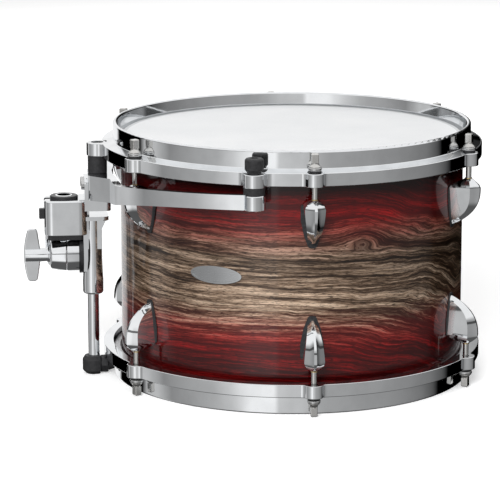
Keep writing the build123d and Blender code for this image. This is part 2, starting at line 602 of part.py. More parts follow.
# ------------------------------------------------------------------ clamp
def make_clamp_body():
    """The clamp casting: a socket block, a tongue under the arm, a rear cheek and the leg's stem."""
    outer_x = SOCKET_X - 17.8
    inner_x = SOCKET_X + 20.4
    socket_plan = RectangleRounded(inner_x - outer_x, 2 * CLAMP_HALF_WIDTH, 8.0)
    socket_block = Pos((outer_x + inner_x) / 2, 0, CLAMP_BOTTOM_Z) * extrude(
        socket_plan, CLAMP_TOP_Z - CLAMP_BOTTOM_Z)
    socket_block = fillet(socket_block.edges().group_by(Axis.Z)[-1], 2.0)
    socket_block = fillet(socket_block.edges().group_by(Axis.Z)[0], 1.0)
    tongue = block((-190, -162), (-14, 14), (TONGUE_BOTTOM_Z, BLOCK_BOTTOM_Z))
    tongue = fillet(tongue.edges().filter_by(Axis.Z).group_by(Axis.X)[-1], 4.0)
    ledge = block((-192, -164), (-13, 13), (LEDGE_BOTTOM_Z, TONGUE_BOTTOM_Z - SLOT_HEIGHT))
    ledge = fillet(ledge.edges().filter_by(Axis.Z).group_by(Axis.X)[-1], 5.0)
    neck_face = make_face(Polyline(
        (-192, TONGUE_BOTTOM_Z + 1),
        (-181, TONGUE_BOTTOM_Z + 1),
        (-181, LEDGE_BOTTOM_Z + 1),
        (-166, LEDGE_BOTTOM_Z + 1),
        (-166, LEDGE_BOTTOM_Z),
        (LEG_X + STEM_R - 0.6, LEDGE_BOTTOM_Z - 9),
        (LEG_X + STEM_R - 0.6, CLAMP_BOTTOM_Z - 14),
        (NECK_X, CLAMP_BOTTOM_Z - 14),
        (NECK_X, CLAMP_BOTTOM_Z + 1),
        (-192, CLAMP_BOTTOM_Z + 1),
        close=True,
    ))
    neck = Pos(0, 7.4, 0) * extrude(Plane.XZ * neck_face, 14.8)
    stem = Pos(LEG_X, 0, 0) * revolved(
        [(0, STEM_BOTTOM_Z), (STEM_FLARE_R, STEM_BOTTOM_Z), (STEM_FLARE_R, STEM_BOTTOM_Z + 12),
         (STEM_R, STEM_BOTTOM_Z + 32), (STEM_R, LEDGE_BOTTOM_Z + 1), (0, LEDGE_BOTTOM_Z + 1)],
        [(1, 2.6)])
    backing = block((NECK_X, LEG_X), (-7, 7), (BARREL_Z - 15, CLAMP_BOTTOM_Z + 1))
    cheek_plan = make_face(Polyline(
        (-219.5, CLAMP_BOTTOM_Z + 2),
        (-219.5, BARREL_Z - 18.5),
        (-183, BARREL_Z - 18.5),
        (-183, CLAMP_BOTTOM_Z + 2),
        close=True,
    ))
    low_corners = cheek_plan.vertices().group_by(Axis.Y)[0]
    cheek_plan = fillet(low_corners, 14.0)
    cheek = Pos(0, CHEEK_OUTER_Y, 0) * extrude(Plane.XZ * cheek_plan, CHEEK_THICKNESS)
    cheek_root = block((-214, -188), (8, CHEEK_OUTER_Y), (CLAMP_BOTTOM_Z + 0.4, CLAMP_BOTTOM_Z + 10))
    stem_web = block((NECK_X, LEG_X), (0, CHEEK_OUTER_Y), (BARREL_Z - 4, CLAMP_BOTTOM_Z + 8))
    tab = block((TAB_X, BLOCK_OUTER_X), (-14.5, 14.5), (CLAMP_TOP_Z - 3, BRACKET_SCREW_Z + 6.5))
    tab = fillet(tab.edges().filter_by(Axis.X).group_by(Axis.Z)[-1], 5.0)
    body = socket_block + tongue + ledge + neck + stem + backing + cheek + cheek_root + stem_web + tab
    body -= upright(BUSHING_R + 0.05, CLAMP_BOTTOM_Z - 2, CLAMP_TOP_Z + 2, SOCKET_X)
    body -= block((-230, SOCKET_X - BUSHING_R + 2), (-3, 3), (CLAMP_BOTTOM_Z - 1, CLAMP_TOP_Z + 1))
    body -= block((NECK_X - 6, NECK_X), (-17.2, 17.2), (BARREL_Z - BARREL_R - 2.2, CLAMP_BOTTOM_Z - 0.1))
    body -= upright(LEG_R + 0.06, STEM_BOTTOM_Z - 2, LEG_TOP_Z + 5, LEG_X)
    body -= along_y(LEG_SCREW_R + RUNNING_GAP, 2, 30, LEG_X, LEG_SCREW_Z)
    for side in (-1, 1):
        body -= along_x(BRACKET_SCREW_R + 0.15, TAB_X - 1, BLOCK_OUTER_X + 1,
                        y=side * BRACKET_SCREW_SPREAD, z=BRACKET_SCREW_Z)
    return body


def make_bushing():
    """The nylon bushing in the socket, with a top flange and a key that shows in the slot."""
    tube = upright(BUSHING_R, CLAMP_BOTTOM_Z + 0.5, CLAMP_TOP_Z + 0.1, SOCKET_X)
    flange = upright(12.4, CLAMP_TOP_Z + 0.05, CLAMP_TOP_Z + 2.9, SOCKET_X)
    flange = fillet(flange.edges().group_by(Axis.Z)[-1], 1.2)
    wide_key = block((-220.2, SOCKET_X - 9), (-2.8, 2.8), (137.8, 152.0))
    long_key = block((-225.2, SOCKET_X - 9), (-2.8, 2.8), (142.4, 151.4))
    bushing = tube + flange + wide_key + fillet(long_key.edges().group_by(Axis.X)[0], 0.8)
    return bushing - upright(SLEEVE_R + 0.05, CLAMP_BOTTOM_Z - 2, CLAMP_TOP_Z + 5, SOCKET_X)


def make_sleeve():
    """The metal sleeve that lines the socket; the tom arm's rod slides in it."""
    sleeve = upright(SLEEVE_R, CLAMP_BOTTOM_Z + 0.5, CLAMP_TOP_Z + 3.2, SOCKET_X)
    sleeve = fillet(sleeve.edges().group_by(Axis.Z)[-1], 0.9)
    return sleeve - upright(SOCKET_R, CLAMP_BOTTOM_Z - 2, CLAMP_TOP_Z + 5, SOCKET_X)


def make_liner():
    """The nylon liner between the casting and the barrel: a plate and a round washer in one."""
    liner_x = NECK_X - 0.1
    plate = block((-218, liner_x), (-14.5, 14.5), (BARREL_Z + BARREL_R + 0.6, CLAMP_BOTTOM_Z - 0.1))
    plate = fillet(plate.edges().filter_by(Axis.Z), 3.0)
    disc = along_x(BARREL_R + 1.9, BARREL_INNER_X + 0.05, liner_x, z=BARREL_Z)
    liner = plate + disc
    return liner - upright(SOCKET_R + 0.6, BARREL_Z, CLAMP_BOTTOM_Z + 2, SOCKET_X)


def make_barrel_inner():
    """The fixed half of the barrel, against the liner, with a pocket for the eye bolt."""
    half = along_x(BARREL_R, SPLIT_X + SPLIT_GAP / 2, BARREL_INNER_X, z=BARREL_Z)
    half = fillet(half.edges(), 0.6)
    half -= along_x(EYE_R + 0.15, SPLIT_X - 1, -192.0, z=BARREL_Z)
    return half - upright(SOCKET_R + 0.4, BARREL_Z - 20, BARREL_Z + 20, SOCKET_X)


def make_barrel_outer():
    """The pressed half of the barrel, tapering towards the wing nut."""
    start = SPLIT_X - SPLIT_GAP / 2
    length = start - BARREL_OUTER_X
    cone = Pos(start - length / 2, 0, BARREL_Z) * Rot(0, -90, 0) * Cone(BARREL_R, BARREL_R - 2.4, length)
    cone = fillet(cone.edges().group_by(Axis.X)[0], 2.2)
    cone = fillet(cone.edges().group_by(Axis.X)[-1], 0.6)
    cone -= along_x(EYE_R + 0.15, -213.9, SPLIT_X + 1, z=BARREL_Z)
    cone -= along_x(EYE_STUD_R + 0.2, BARREL_OUTER_X - 1, -213, z=BARREL_Z)
    return cone - upright(SOCKET_R + 0.4, BARREL_Z - 20, BARREL_Z + 20, SOCKET_X)


def make_eye_bolt():
    """The eye bolt: a cross-drilled eye inside the barrel and a threaded stud towards -X."""
    eye = along_x(EYE_R, -212.2, -194.5, z=BARREL_Z)
    eye = chamfer(eye.edges(), 0.8)
    stud = along_x(EYE_STUD_R, -235.6, -211, z=BARREL_Z)
    stud = chamfer(stud.edges().group_by(Axis.X)[0], 0.7)
    return eye + stud - upright(SOCKET_R + 0.3, BARREL_Z - 20, BARREL_Z + 20, SOCKET_X)


def make_wing_nut():
    """The wing nut: a blind hub with two upright tapering wings."""
    hub = along_x(6.1, WING_OUTER_X + 1.2, WING_INNER_X, z=BARREL_Z)
    hub += along_x(7.0, WING_INNER_X - 2.2, WING_INNER_X, z=BARREL_Z)
    half = WING_SPAN / 2
    crown = WING_OUTER_X + 3.8
    wing_outline = [
        Line((WING_OUTER_X + 14.6, -4.5), (WING_OUTER_X + 11.8, -half)),
        Line((WING_OUTER_X + 11.8, -half), (crown, -half)),
        ThreePointArc((crown, -half), (WING_OUTER_X, 0), (crown, half)),
        Line((crown, half), (WING_OUTER_X + 11.8, half)),
        Line((WING_OUTER_X + 11.8, half), (WING_OUTER_X + 14.6, 4.5)),
        Line((WING_OUTER_X + 14.6, 4.5), (WING_OUTER_X + 14.6, -4.5)),
    ]
    wing_face = make_face(wing_outline)
    tips = wing_face.vertices().group_by(Axis.Y)
    wing_face = fillet(tips[0] + tips[-1], 3.2)
    wings = Pos(0, WING_THICKNESS / 2, BARREL_Z) * extrude(Plane.XZ * wing_face, WING_THICKNESS)
    wings = fillet(wings.edges().filter_by(GeomType.LINE).filter_by(Plane.XZ), 1.0)
    nut = hub + wings
    return nut - along_x(EYE_STUD_R + RUNNING_GAP, -237.4, WING_INNER_X + 1, z=BARREL_Z)


def make_bracket_screw(side):
    """A cap screw that fastens the casting's tab to the arm's block."""
    head = along_x(4.4, TAB_X - 2.9, TAB_X, y=side * BRACKET_SCREW_SPREAD, z=BRACKET_SCREW_Z)
    head = fillet(head.edges().group_by(Axis.X)[0], 0.6)
    head -= along_x(2.2, TAB_X - 4, TAB_X - 1.2, y=side * BRACKET_SCREW_SPREAD, z=BRACKET_SCREW_Z)
    shank_end = BLOCK_OUTER_X + BRACKET_SCREW_DEPTH
    shank = along_x(BRACKET_SCREW_R, TAB_X - 0.1, shank_end, y=side * BRACKET_SCREW_SPREAD, z=BRACKET_SCREW_Z)
    return head + shank


# ------------------------------------------------------------------ leg
def make_leg_rod():
    """The support leg: a plain rod that slides in the stem."""
    rod = upright(LEG_R, LEG_BOTTOM_Z, LEG_TOP_Z, LEG_X)
    return chamfer(rod.edges(), 0.6)


def make_leg_screw():
    """The key screw behind the stem that locks the leg."""
    shank = along_y(LEG_SCREW_R, LEG_R + 0.3, 14.0, LEG_X, LEG_SCREW_Z)
    flange = along_y(5.0, 13.4, 15.4, LEG_X, LEG_SCREW_Z)
    head = block((LEG_X - 3, LEG_X + 3), (15.3, 22.5), (LEG_SCREW_Z - 3, LEG_SCREW_Z + 3))
    head = chamfer(head.edges().group_by(Axis.Y)[-1], 0.6)
    return shank + fillet(flange.edges().group_by(Axis.Y)[-1], 0.8) + head


def make_foot():
    """The rubber foot on the leg's end, with a socket for the side tip."""
    body = Pos(LEG_X, 0, 0) * revolved(
        [(0, 0.4), (FOOT_R - 2.9, 0.4), (FOOT_R, 3.4), (FOOT_R, 13.2), (FOOT_R - 2.1, 16.4), (0, 16.4)],
        [(2, 1.5), (3, 1.5)])
    body -= block((FOOT_FACE_X, FOOT_FACE_X + 12), (-12, 12), (0, 20))
    return body - upright(LEG_R + RUNNING_GAP, LEG_BOTTOM_Z - 0.1, 20, LEG_X)


def make_foot_nut():
    """The lock nut of the foot's tip: a chamfered octagon on a level axis."""
    start = FOOT_FACE_X + 0.1
    width = 7.2
    prism = Pos(start, 0, FOOT_Z) * Rot(0, 90, 0) * extrude(RegularPolygon(7.6, 8, major_radius=False), width)
    envelope = chamfer(along_x(8.1, start, start + width, z=FOOT_Z).edges(), 1.2)
    return (prism & envelope) - along_x(FOOT_STUD_R + RUNNING_GAP, start - 1, start + 12, z=FOOT_Z)


def make_foot_tip():
    """The soft tip that bears on the bottom rim."""
    stud = along_x(FOOT_STUD_R, -170.4, -164.6, z=FOOT_Z)
    cone = Pos(-162.1, 0, FOOT_Z) * Rot(0, 90, 0) * Cone(6.0, 4.4, 5.4)
    cone = fillet(cone.edges().group_by(Axis.X)[-1], 1.4)
    return stud + cone


# ------------------------------------------------------------------ assembly
def main():
    """Build every node and write its STEP file."""
    os.makedirs("parts", exist_ok=True)
    write("shell", make_shell())
    sound_ring = make_sound_ring()
    write("upper_sound_ring", sound_ring)
    write("lower_sound_ring", below(sound_ring))
    write("badge", make_badge())
    write("vent_eyelet", make_vent_eyelet())

    film = make_film()
    flesh_hoop = make_flesh_hoop()
    write("batter_film", film)
    write("batter_flesh_hoop", flesh_hoop)
    write("resonant_film", below(film))
    write("resonant_flesh_hoop", below(flesh_hoop))
    write("top_hoop", make_hoop(mount_ears=True))
    write("bottom_hoop", below(make_hoop(mount_ears=False)))

    lug = make_lug()
    lugs = [turned(lug, angle) for angle in LUG_ANGLES]
    write("top_lugs", group(lugs))
    write("bottom_lugs", group([below(piece) for piece in lugs]))

    def both_ends(piece):
        uppers = [turned(piece, angle) for angle in LUG_ANGLES]
        return uppers + [below(upper) for upper in uppers]

    cushion_high = FLANGE_TOP_Z + CUSHION_HEIGHT
    washer_high = ROD_FLARE_BOTTOM_Z - RUNNING_GAP
    cushion = make_rod_washer(FLANGE_TOP_Z, cushion_high, 5.5, 0.3)
    washer = make_rod_washer(cushion_high, washer_high, 5.9, 1.1)
    write("lug_gaskets", group(both_ends(make_lug_gasket())))
    write("lug_inserts", group(both_ends(make_insert())))
    write("rod_cushions", group(both_ends(cushion)))
    write("rod_washers", group(both_ends(washer)))
    screws = []
    washers = []
    for height in LUG_SCREW_HEIGHTS:
        screws += both_ends(make_lug_screw(height))
        washers += both_ends(make_lug_screw_washer(height))
    write("lug_screws", group(screws))
    write("lug_screw_washers", group(washers))
    rod = make_rod()
    for number, angle in enumerate(LUG_ANGLES, start=1):
        write(f"top_rod_{number}", turned(rod, angle))
        write(f"bottom_rod_{number}", below(turned(rod, angle)))

    write("mount_arm", make_arm())
    write("left_grommet", make_grommet(MOUNT_ANGLE, BLOCK_TOP_Z, GROMMET_R))
    write("side_grommets", group([make_grommet(a, BOSS_TOP_Z, BOSS_R - 0.4) for a in SIDE_EAR_ANGLES]))
    studs = [make_stud(a, BOSS_BOTTOM_Z + 2.6, FLANGE_TOP_Z + 4.6) for a in SIDE_EAR_ANGLES]
    studs.append(make_stud(MOUNT_ANGLE, BLOCK_TOP_Z - 13.9, FLANGE_TOP_Z - 1.0))
    write("mount_studs", group(studs))
    nuts = [make_stud_nut(a, FLANGE_TOP_Z + 0.1, 8.0) for a in SIDE_EAR_ANGLES]
    nuts.append(make_stud_nut(MOUNT_ANGLE, FLANGE_TOP_Z - 5.4, 8.6))
    write("stud_nuts", group(nuts))
    write("stud_caps", group([make_cap(a) for a in SIDE_EAR_ANGLES]))

    write("clamp_body", make_clamp_body())
    write("socket_bushing", make_bushing())
    write("socket_sleeve", make_sleeve())
    write("clamp_liner", make_liner())
    write("barrel_inner", make_barrel_inner())
    write("barrel_outer", make_barrel_outer())
    write("eye_bolt", make_eye_bolt())
    write("wing_nut", make_wing_nut())
    write("bracket_screws", group([make_bracket_screw(-1), make_bracket_screw(1)]))

    write("leg_rod", make_leg_rod())
    write("leg_screw", make_leg_screw())
    write("leg_foot", make_foot())
    write("foot_nut", make_foot_nut())
    write("foot_tip", make_foot_tip())


main()
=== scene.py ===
"""Looks of the suspended tom drum: figured walnut shell with a red burst, chrome hardware, two heads.

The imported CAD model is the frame. This script adds the materials, the finely modelled lugs, rounded
edges on the clamp, a pale floor, soft studio light and the camera. Lengths are in metres.
"""
import json
import math

import bmesh
import bpy
from mathutils import Matrix, Vector


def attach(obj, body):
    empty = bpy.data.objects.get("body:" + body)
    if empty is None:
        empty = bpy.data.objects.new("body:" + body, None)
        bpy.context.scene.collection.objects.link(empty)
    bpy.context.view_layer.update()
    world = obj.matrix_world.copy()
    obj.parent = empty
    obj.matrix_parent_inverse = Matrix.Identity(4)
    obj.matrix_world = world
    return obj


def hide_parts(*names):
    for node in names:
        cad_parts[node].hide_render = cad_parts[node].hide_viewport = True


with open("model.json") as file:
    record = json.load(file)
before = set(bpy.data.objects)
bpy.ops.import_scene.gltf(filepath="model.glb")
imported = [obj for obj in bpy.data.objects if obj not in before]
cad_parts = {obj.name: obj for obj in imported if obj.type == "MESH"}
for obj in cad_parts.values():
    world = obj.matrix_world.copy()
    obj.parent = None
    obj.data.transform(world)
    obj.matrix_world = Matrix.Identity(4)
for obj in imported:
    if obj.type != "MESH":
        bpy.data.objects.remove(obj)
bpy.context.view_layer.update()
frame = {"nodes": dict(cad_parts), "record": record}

# ------------------------------------------------------------------ sizes
MM = 0.001
SHELL_R = 152.4 * MM
OVERALL_HEIGHT = 227.4 * MM
ROD_CIRCLE_R = 167.2 * MM
LUG_ANGLES = [270.0 - 60.0 * i for i in range(6)]
LUG_TOP_Z = 179.3 * MM
LUG_HEIGHT = 33.8 * MM
LUG_HALF_WIDTH = 8.8 * MM
LUG_DEPTH = 25.8 * MM
LUG_SIDE_DEPTH = 19.2 * MM
LUG_DOME_HEIGHT = 7.8 * MM
LUG_ROOT_R = SHELL_R + 0.5 * MM      # inside the rubber pad, clear of the shell
LUG_BORE_R = 3.2 * MM
LUG_BORE_DEPTH = 14.0 * MM           # below the shoulder
LUG_EDGE_ROUNDING = 0.45 * MM
LUG_BODY_STEPS = 26
LUG_DOME_STEPS = 8
LUG_TIP_SHARE = 0.992                # the body stops just short of its point
LUG_NOSE_SHARE = 0.14                # half-width of the nose, as a share of the lug's
LUG_BEVEL_SHARE = 0.4                # half-width where the bevel ends
LUG_BEVEL_DROP = 0.09                # how far back the bevel ends, as a share of the lug's depth
LUG_LEAST_STEP = 0.05 * MM           # keeps the corners apart near the point
LUG_EDGE_PARTS = (4, 3, 2)           # divisions of the side, the bevel and the nose
LACQUER_EDGE_INSET = (0.9 * MM, 0.5 * MM)    # lacquer fades out between these depths under the shell's face
COATING_EDGE = (146.8 * MM, 147.6 * MM)      # radii between which the head's coating ends
CLAMP_EDGES = {
    "clamp_body": 0.9 * MM,
    "wing_nut": 0.7 * MM,
    "barrel_inner": 0.4 * MM,
    "barrel_outer": 0.4 * MM,
}
SHARP_ANGLE = math.radians(38)
LUG_SHARP_ANGLE = math.radians(24)
WELD_DISTANCE = 0.002 * MM


# ------------------------------------------------------------------ node tools
class Nodes:
    """A node tree under construction. Sockets and plain numbers can both be fed to an input."""

    def __init__(self, owner):
        owner.use_nodes = True
        self.tree = owner.node_tree
        self.tree.nodes.clear()

    def add(self, kind):
        return self.tree.nodes.new(kind)

    def feed(self, socket, value):
        if isinstance(value, bpy.types.NodeSocket):
            self.tree.links.new(value, socket)
        else:
            socket.default_value = value

    def math(self, operation, *values):
        node = self.add("ShaderNodeMath")
        node.operation = operation
        for socket, value in zip(node.inputs, values):
            self.feed(socket, value)
        return node.outputs[0]

    def smooth(self, value, low, high):
        """0 below low, 1 above high and a smooth step between."""
        node = self.add("ShaderNodeMapRange")
        node.interpolation_type = "SMOOTHSTEP"
        self.feed(node.inputs["Value"], value)
        node.inputs["From Min"].default_value = low
        node.inputs["From Max"].default_value = high
        return node.outputs["Result"]

    def split(self, vector):
        node = self.add("ShaderNodeSeparateXYZ")
        self.feed(node.inputs[0], vector)
        return node.outputs

    def join(self, x, y, z=0.0):
        node = self.add("ShaderNodeCombineXYZ")
        for socket, value in zip(node.inputs, (x, y, z)):
            self.feed(socket, value)
        return node.outputs[0]

    def noise(self, vector, scale=1.0, detail=2.0, roughness=0.5):
        node = self.add("ShaderNodeTexNoise")
        self.feed(node.inputs["Vector"], vector)
        node.inputs["Scale"].default_value = scale
        node.inputs["Detail"].default_value = detail
        node.inputs["Roughness"].default_value = roughness
        return node.outputs["Fac"]

    def ramp(self, value, *stops):
        node = self.add("ShaderNodeValToRGB")
        self.feed(node.inputs[0], value)
        band = node.color_ramp
        band.interpolation = "LINEAR"
        while len(band.elements) < len(stops):
            band.elements.new(0.5)
        for element, (position, colour) in zip(band.elements, stops):
            element.position = position
            element.color = (*colour, 1.0) if isinstance(colour, tuple) else (colour, colour, colour, 1.0)
        return node.outputs["Color"]

    def mix(self, factor, first, second, blend="MIX"):
        node = self.add("ShaderNodeMix")
        node.data_type = "RGBA"
        node.blend_type = blend
        self.feed(node.inputs[0], factor)
        for socket, colour in zip((node.inputs[6], node.inputs[7]), (first, second)):
            self.feed(socket, (*colour, 1.0) if isinstance(colour, tuple) else colour)
        return node.outputs[2]

    def level(self, value, low, high):
        """A 0 to 1 value spread between two numbers."""
        return self.math("MULTIPLY_ADD", value, high - low, low)

    def pulse(self, value, rise, fall):
        """1 between the two pairs of numbers, 0 outside them, with smooth steps."""
        falling = self.math("SUBTRACT", 1.0, self.smooth(value, *fall))
        return self.math("MULTIPLY", self.smooth(value, *rise), falling)

    def distance(self, x, y):
        """The length of a level vector."""
        return self.math("SQRT", self.math("ADD", self.math("MULTIPLY", x, x), self.math("MULTIPLY", y, y)))


class Recipe(Nodes):
    """A material under construction, with its place on the object and its surface shader."""

    def __init__(self, name):
        self.material = bpy.data.materials.new(name)
        super().__init__(self.material)
        self.place = self.add("ShaderNodeTexCoord").outputs["Object"]
        self.surface = self.add("ShaderNodeBsdfPrincipled")
        output = self.add("ShaderNodeOutputMaterial")
        self.tree.links.new(self.surface.outputs[0], output.inputs["Surface"])

    def set(self, **values):
        """Sets inputs of the surface shader; spaces in their names are written as underscores."""
        for name, value in values.items():
            self.feed(self.surface.inputs[name.replace("_", " ")], value)

    def bump(self, height, strength, distance):
        node = self.add("ShaderNodeBump")
        node.inputs["Strength"].default_value = strength
        node.inputs["Distance"].default_value = distance
        self.feed(node.inputs["Height"], height)
        self.feed(self.surface.inputs["Normal"], node.outputs[0])


# ------------------------------------------------------------------ shell
# Eyes in the veneer: angle round the shell, height, length, width and how hard they bend the grain.
GRAIN_EYES = [
    (-72, 143 * MM, 26 * MM, 10 * MM, -0.85),
    (-51, 152 * MM, 20 * MM, 9 * MM, -0.8),
    (-143, 150 * MM, 22 * MM, 8 * MM, -0.6),
    (20, 105 * MM, 30 * MM, 11 * MM, -0.85),
    (75, 135 * MM, 28 * MM, 10 * MM, -0.8),
]
GRAIN_TURN = (math.radians(-100), math.radians(-35))    # the level grain turns wavy between these angles
GRAIN_SLOPE = 0.16
BAND_SPACING = 4.2 * MM
WOOD_TONES = [(0.42, (0.014, 0.007, 0.004)), (0.475, (0.075, 0.043, 0.025)),
              (0.515, (0.30, 0.20, 0.132)), (0.58, (0.70, 0.52, 0.38))]
BAND_COLOUR = (0.022, 0.012, 0.007)
PORE_COLOUR = (0.012, 0.006, 0.003)
STAIN_FILTER = (1.25, 0.040, 0.055)
STAIN_COLOUR = (0.26, 0.005, 0.009)
# The burst by share of the drum's height: how red the wood is, and how bright the colour is made, which is
# painted shade towards the top and bottom together with the burst's own darkening at the top.
REDNESS = [(0.24, 1.0), (0.295, 0.85), (0.35, 0.25), (0.40, 0.0), (0.58, 0.0), (0.64, 0.28),
           (0.69, 0.70), (0.74, 1.0)]
SHADE_AND_BURST_DARKENING = [(0.10, 0.20), (0.17, 0.34), (0.24, 0.62), (0.30, 0.90), (0.38, 1.3), (0.47, 1.3),
         (0.56, 0.92), (0.64, 0.85), (0.74, 0.80), (0.80, 0.42), (0.84, 0.13), (0.89, 0.06)]
BURST_EDGE_WAVER = 30 * MM


def grain_eye(recipe, along, height, eye_angle, eye_height, length, width, push):
    """How far the grain lines bend round an eye in the veneer."""
    eye_along = math.radians(eye_angle) * SHELL_R
    off_along = recipe.math("DIVIDE", recipe.math("SUBTRACT", along, eye_along), length)
    rise = recipe.math("SUBTRACT", height, eye_height)
    off_height = recipe.math("DIVIDE", rise, width)
    squared = recipe.math("ADD", recipe.math("MULTIPLY", off_along, off_along),
                          recipe.math("MULTIPLY", off_height, off_height))
    near = recipe.math("EXPONENT", recipe.math("MULTIPLY", squared, -1.0))
    return recipe.math("MULTIPLY", near, recipe.math("MULTIPLY", rise, push))


def lacquered_shell():
    """Walnut veneer with the grain round the shell, stained in a red burst at both ends, under gloss."""
    r = Recipe("lacquered_walnut")
    x, y, z = r.split(r.place)
    angle = r.math("ARCTAN2", y, x)
    along = r.math("MULTIPLY", angle, SHELL_R)
    radius = r.distance(x, y)

    # Grain lines: level on the left, bending and sloping down to the right of the front lug.
    right = r.smooth(angle, *GRAIN_TURN)
    wander = r.noise(r.join(r.math("MULTIPLY", along, 9.0), r.math("MULTIPLY", z, 13.0)), detail=1.5)
    wander = r.math("SUBTRACT", wander, 0.5)
    waver = r.noise(r.join(r.math("MULTIPLY", along, 38.0), r.math("MULTIPLY", z, 60.0), 3.0), detail=2.0)
    waver = r.math("SUBTRACT", waver, 0.5)
    line = r.math("MULTIPLY_ADD", wander, r.level(right, 0.012, 0.060), z)
    line = r.math("MULTIPLY_ADD", waver, r.level(right, 0.003, 0.009), line)
    past_front = r.math("ADD", along, math.radians(90) * SHELL_R)
    line = r.math("MULTIPLY_ADD", r.math("MULTIPLY", right, past_front), GRAIN_SLOPE, line)
    for eye in GRAIN_EYES:
        line = r.math("ADD", line, grain_eye(r, along, z, *eye))

    def streaks(along_scale, line_scale, detail, roughness, seed):
        vector = r.join(r.math("MULTIPLY", along, along_scale), r.math("MULTIPLY", line, line_scale), seed)
        return r.noise(vector, detail=detail, roughness=roughness)

    broad = streaks(5.0, 130.0, 3.0, 0.55, 0.0)
    medium = streaks(16.0, 420.0, 4.0, 0.7, 5.0)
    fine = streaks(60.0, 1300.0, 3.0, 0.75, 9.0)
    flecks = streaks(150.0, 1700.0, 2.0, 0.6, 14.0)
    tone = r.math("MULTIPLY", broad, 0.34)
    tone = r.math("MULTIPLY_ADD", medium, 0.36, tone)
    tone = r.math("MULTIPLY_ADD", fine, 0.30, tone)
    wood = r.ramp(tone, *WOOD_TONES)
    phase = r.math("MULTIPLY_ADD", line, math.tau / BAND_SPACING, r.math("MULTIPLY", broad, 22.0))
    bands = r.smooth(r.math("SINE", phase), 0.15, 0.95)
    bands = r.math("MULTIPLY", bands, r.smooth(fine, 0.36, 0.56))
    # The dark bands are stronger on the right: partly the veneer's own figure, partly painted shade where
    # the light falls off to that side.
    wood = r.mix(r.math("MULTIPLY", bands, r.level(right, 0.45, 0.8)), wood, BAND_COLOUR)
    pores = r.smooth(flecks, 0.54, 0.62)
    wood = r.mix(r.math("MULTIPLY", pores, 0.85), wood, PORE_COLOUR)

    # Burst: brown at mid height through red to nearly black at the upper end.
    edge = r.math("MULTIPLY_ADD", r.math("SUBTRACT", medium, 0.5), BURST_EDGE_WAVER, z)
    height = r.math("DIVIDE", edge, OVERALL_HEIGHT)
    stained = r.mix(1.0, wood, STAIN_FILTER, "MULTIPLY")
    stained = r.mix(0.35, stained, STAIN_COLOUR)
    colour = r.mix(r.ramp(height, *REDNESS), wood, stained)
    # Painted shade with the burst's darkening: the colour is scaled by height, darker towards the top and
    # bottom.
    colour = r.mix(1.0, colour, r.ramp(height, *SHADE_AND_BURST_DARKENING), "MULTIPLY")

    # Inside and on the bearing edges the plies are bare.
    plies = r.noise(r.join(r.math("MULTIPLY", along, 12.0), r.math("MULTIPLY", z, 260.0), 20.0), detail=3.0)
    bare = r.ramp(plies, (0.3, (0.36, 0.24, 0.14)), (0.7, (0.62, 0.47, 0.31)))
    outside = r.smooth(radius, *(SHELL_R - inset for inset in LACQUER_EDGE_INSET))
    r.set(Base_Color=r.mix(outside, bare, colour), Roughness=0.4, Specular_IOR_Level=0.2,
          Metallic=r.math("MULTIPLY", outside, 0.5),
          Coat_Weight=r.math("MULTIPLY", outside, 0.8), Coat_Roughness=0.025, Coat_IOR=1.5)
    return r.material


# ------------------------------------------------------------------ metals
def metal(name, colour, low, high, ripple=0.0, brushed=None):
    """A plated or bare metal: its roughness wanders between low and high, with an optional cast ripple."""
    r = Recipe(name)
    clouds = r.noise(r.place, scale=45.0, detail=3.0)
    darker = tuple(0.9 * c for c in colour)
    r.set(Metallic=1.0, Base_Color=r.ramp(clouds, (0.3, darker), (0.6, colour)))
    if brushed:
        x, y, z = r.split(r.place)
        scaled = [r.math("MULTIPLY", axis, stretch) for axis, stretch in zip((x, y, z), brushed)]
        clouds = r.noise(r.join(*scaled), detail=4.0, roughness=0.7)
    r.set(Roughness=r.level(clouds, low, high))
    if ripple:
        r.bump(r.noise(r.place, scale=60.0, detail=1.0), 1.0, ripple)
    return r.material


# ------------------------------------------------------------------ heads and mouldings
def coated_film():
    """The sprayed white coating of the batter head, which stops short of the film's edge."""
    r = Recipe("coated_film")
    x, y, z = r.split(r.place)
    radius = r.distance(x, y)
    speckle = r.noise(r.place, scale=900.0, detail=3.0, roughness=0.7)
    clouds = r.noise(r.place, scale=14.0, detail=4.0)
    coat = r.ramp(clouds, (0.3, (0.80, 0.81, 0.82)), (0.7, (0.86, 0.865, 0.87)))
    coat = r.mix(0.12, coat, r.ramp(speckle, (0.4, (0.6, 0.6, 0.6)), (0.6, (1.0, 1.0, 1.0))), "MULTIPLY")
    bare_edge = r.smooth(radius, *COATING_EDGE)
    r.set(Base_Color=r.mix(bare_edge, coat, (0.62, 0.63, 0.64)), Roughness=0.6)
    r.bump(speckle, 0.35, 0.00025)
    return r.material


def clear_film():
    """The smooth, slightly milky lower head."""
    r = Recipe("clear_film")
    haze = r.noise(r.place, scale=11.0, detail=3.0)
    r.set(Base_Color=r.ramp(haze, (0.3, (0.80, 0.82, 0.83)), (0.7, (0.88, 0.89, 0.90))),
          Transmission_Weight=0.75, Roughness=r.level(haze, 0.12, 0.22), IOR=1.5)
    return r.material


def moulded(name, colour, roughness, grain, grain_depth):
    """Rubber or nylon with a fine moulded grain and a painted grey sheen in lighter patches."""
    r = Recipe(name)
    skin = r.noise(r.place, scale=grain, detail=3.0, roughness=0.6)
    # The lighter grey is a painted sheen, spread in patches by the grain's noise.
    painted_sheen = tuple(1.8 * c + 0.004 for c in colour)
    r.set(Base_Color=r.ramp(skin, (0.35, colour), (0.75, painted_sheen)),
          Roughness=r.level(skin, roughness - 0.08, roughness + 0.08))
    r.bump(skin, 0.4, grain_depth)
    return r.material


